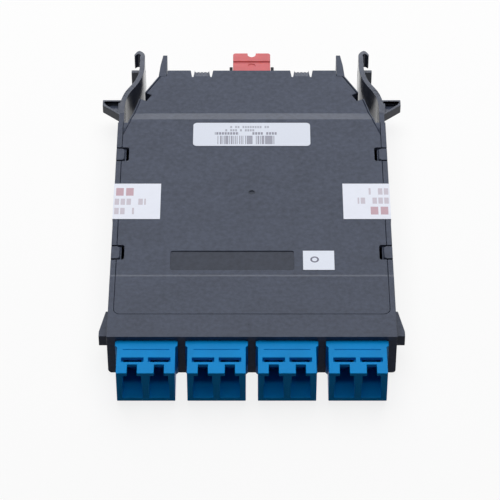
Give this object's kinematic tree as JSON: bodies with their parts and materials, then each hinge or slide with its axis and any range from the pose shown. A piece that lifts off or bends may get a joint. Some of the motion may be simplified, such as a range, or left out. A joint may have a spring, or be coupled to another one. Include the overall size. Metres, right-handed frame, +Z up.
{
  "type": "fibre cassette",
  "caption": "Flat moulded fibre cassette with duplex LC adapters across the front, a capped MPO port at the rear and squeeze latch arms on both sides.",
  "frame": {"origin": "middle of the flat underside of the box", "axes": "+X to the right seen from the front, +Y from the LC ports at the front to the MPO port at the rear, +Z up out of the cover"},
  "size_m": [0.0768, 0.1171, 0.012],
  "materials": {
    "housing": "fine moulded grain, satin",
    "adapter_blue": "smooth moulded, semi gloss",
    "ceramic": "ground zirconia",
    "white_plastic": "moulded, satin",
    "fibre_buffer": "smooth tight buffer",
    "connector_black": "moulded, satin",
    "pin_steel": "ground",
    "cap_red": "soft moulded, slightly translucent",
    "label_paper": "coated, matt",
    "seal_film": "thin seal film, satin"
  },
  "bodies": {
    "cassette": {"base": "housing", "cover": "housing", "lc_adapter_1": "adapter_blue", "lc_adapter_2": "adapter_blue", "lc_adapter_3": "adapter_blue", "lc_adapter_4": "adapter_blue", "alignment_sleeve_1": "ceramic", "lc_ferrule_1": "ceramic", "lc_plug_1": "adapter_blue", "lc_boot_1": "white_plastic", "fibre_1": "fibre_buffer", "alignment_sleeve_2": "ceramic", "lc_ferrule_2": "ceramic", "lc_plug_2": "adapter_blue", "lc_boot_2": "white_plastic", "fibre_2": "fibre_buffer", "alignment_sleeve_3": "ceramic", "lc_ferrule_3": "ceramic", "lc_plug_3": "adapter_blue", "lc_boot_3": "white_plastic", "fibre_3": "fibre_buffer", "alignment_sleeve_4": "ceramic", "lc_ferrule_4": "ceramic", "lc_plug_4": "adapter_blue", "lc_boot_4": "white_plastic", "fibre_4": "fibre_buffer", "alignment_sleeve_5": "ceramic", "lc_ferrule_5": "ceramic", "lc_plug_5": "adapter_blue", "lc_boot_5": "white_plastic", "fibre_5": "fibre_buffer", "alignment_sleeve_6": "ceramic", "lc_ferrule_6": "ceramic", "lc_plug_6": "adapter_blue", "lc_boot_6": "white_plastic", "fibre_6": "fibre_buffer", "alignment_sleeve_7": "ceramic", "lc_ferrule_7": "ceramic", "lc_plug_7": "adapter_blue", "lc_boot_7": "white_plastic", "fibre_7": "fibre_buffer", "alignment_sleeve_8": "ceramic", "lc_ferrule_8": "ceramic", "lc_plug_8": "adapter_blue", "lc_boot_8": "white_plastic", "fibre_8": "fibre_buffer", "fanout_block": "white_plastic", "mpo_adapter": "connector_black", "mpo_plug": "connector_black", "mpo_coupler": "connector_black", "mt_ferrule": "connector_black", "mt_guide_pins": "pin_steel", "mpo_boot": "connector_black", "main_label": "label_paper", "small_label": "label_paper", "seal_tape_right": "seal_film", "seal_tape_left": "seal_film"},
    "latch_right": {"latch_arm_right": "housing"},
    "latch_left": {"latch_arm_left": "housing"},
    "dust_cap": {"mpo_dust_cap": "cap_red"}
  },
  "joints": [
    {"name": "latch_right_squeeze", "type": "hinge", "parent": "cassette", "child": "latch_right", "pos_m": [0.03306, 0.0316, 0], "axis": [0, 0, 1], "range_deg": [0, 9], "stiffness_Nm_per_rad": 0.266},
    {"name": "latch_left_squeeze", "type": "hinge", "parent": "cassette", "child": "latch_left", "pos_m": [-0.03306, 0.0316, 0], "axis": [0, 0, 1], "range_deg": [-9, 0], "stiffness_Nm_per_rad": 0.266},
    {"name": "dust_cap_pull", "type": "slide", "parent": "cassette", "child": "dust_cap", "axis": [0, 1, 0], "range_m": [0, 0.008]}
  ]
}
